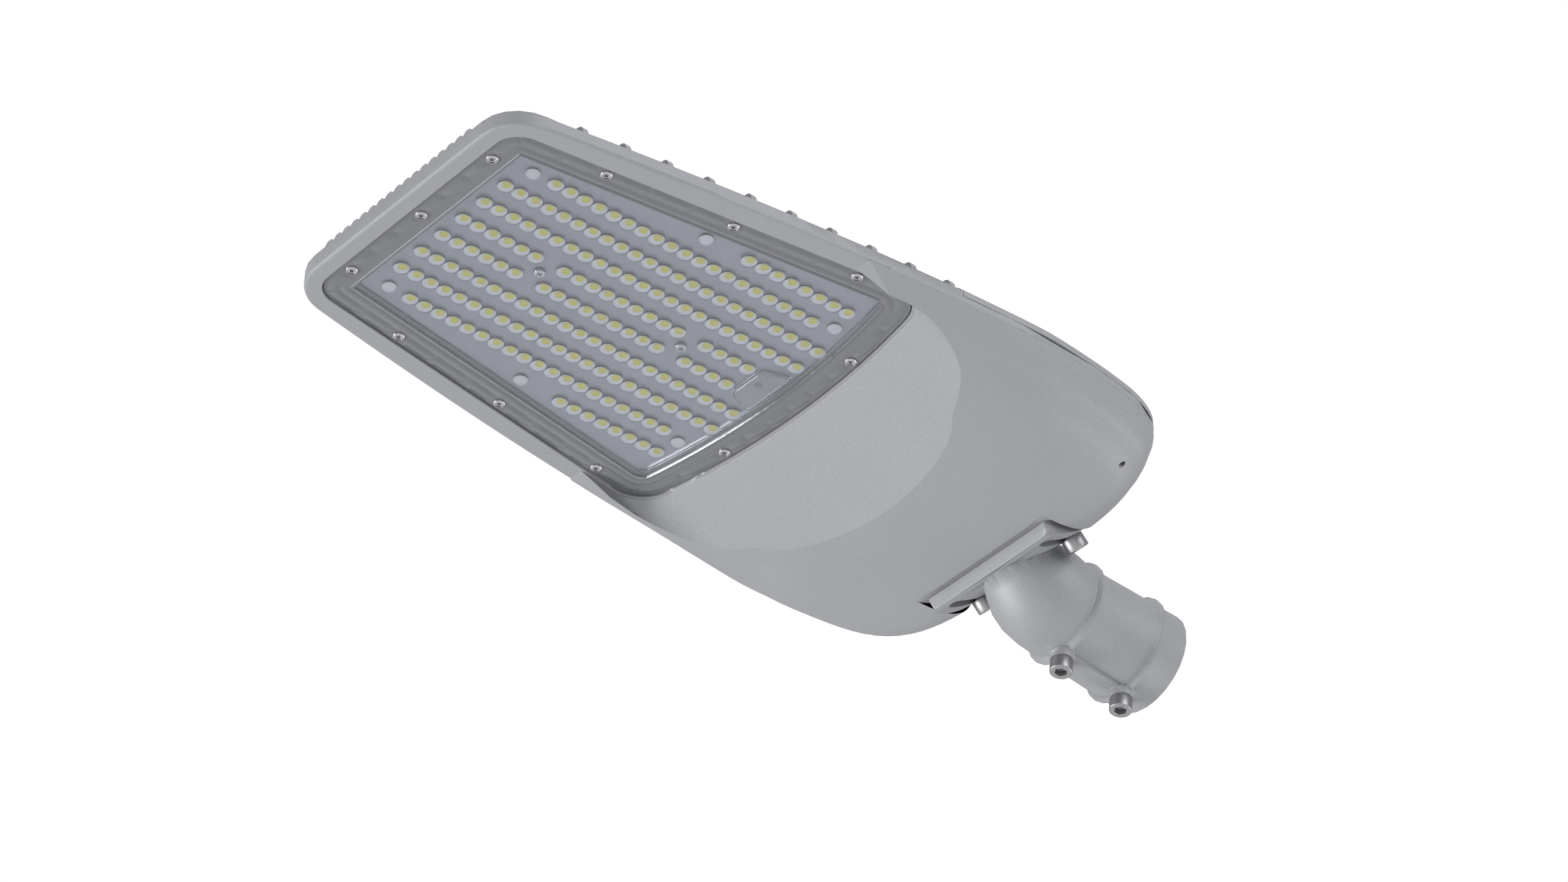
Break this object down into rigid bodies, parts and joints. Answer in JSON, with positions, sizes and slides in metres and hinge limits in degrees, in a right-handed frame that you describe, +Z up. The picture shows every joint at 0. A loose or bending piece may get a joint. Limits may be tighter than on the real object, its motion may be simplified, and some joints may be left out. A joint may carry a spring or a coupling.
{
  "type": "street light head",
  "caption": "Flat LED street light head with ribbed die-cast body, driver bulge, recessed LED window and tilted pole spigot on a curved flange.",
  "frame": {"origin": "centre of the spigot bore at its mouth", "axes": "+X along the lamp from the spigot to the nose, +Y across it, +Z up; the light leaves towards -Z"},
  "size_m": [0.6642, 0.3446, 0.1446],
  "materials": {
    "powder_coat": "fine grained silver grey powder coat",
    "powder_coat_spigot": "fine grained silver grey powder coat",
    "gasket_rubber": "matt silicone",
    "steel": "satin stainless steel",
    "bolt_steel": "satin stainless steel",
    "lens_plastic": "clear moulded lens cover",
    "board": "pale solder mask",
    "phosphor": "yellow phosphor",
    "optic_plastic": "clear moulded lenses",
    "zinc_sheet": "zinc coated sheet",
    "driver_case": "smooth white case",
    "terminal_plastic": "matt polyamide",
    "surge_case": "matt dark case",
    "brass": "plain brass"
  },
  "bodies": {
    "root": {"housing": "powder_coat", "driver_cover": "powder_coat", "cover_gasket": "gasket_rubber", "cover_screws": "steel", "lens_cover": "lens_plastic", "lens_gasket": "gasket_rubber", "lens_screws": "steel", "led_board": "board", "led_chips": "phosphor", "optic_plate": "optic_plastic", "board_screws": "steel", "wire_cover": "optic_plastic", "wire_plug": "gasket_rubber", "gear_tray": "zinc_sheet", "tray_screws": "steel", "led_driver": "driver_case", "driver_screws": "steel", "terminal_block": "terminal_plastic", "surge_protector": "surge_case", "small_screws": "steel", "earth_screw": "brass", "inlet_grommet": "gasket_rubber", "spigot": "powder_coat_spigot", "flange_bolts": "bolt_steel", "clamp_bolts": "bolt_steel"}
  },
  "joints": []
}
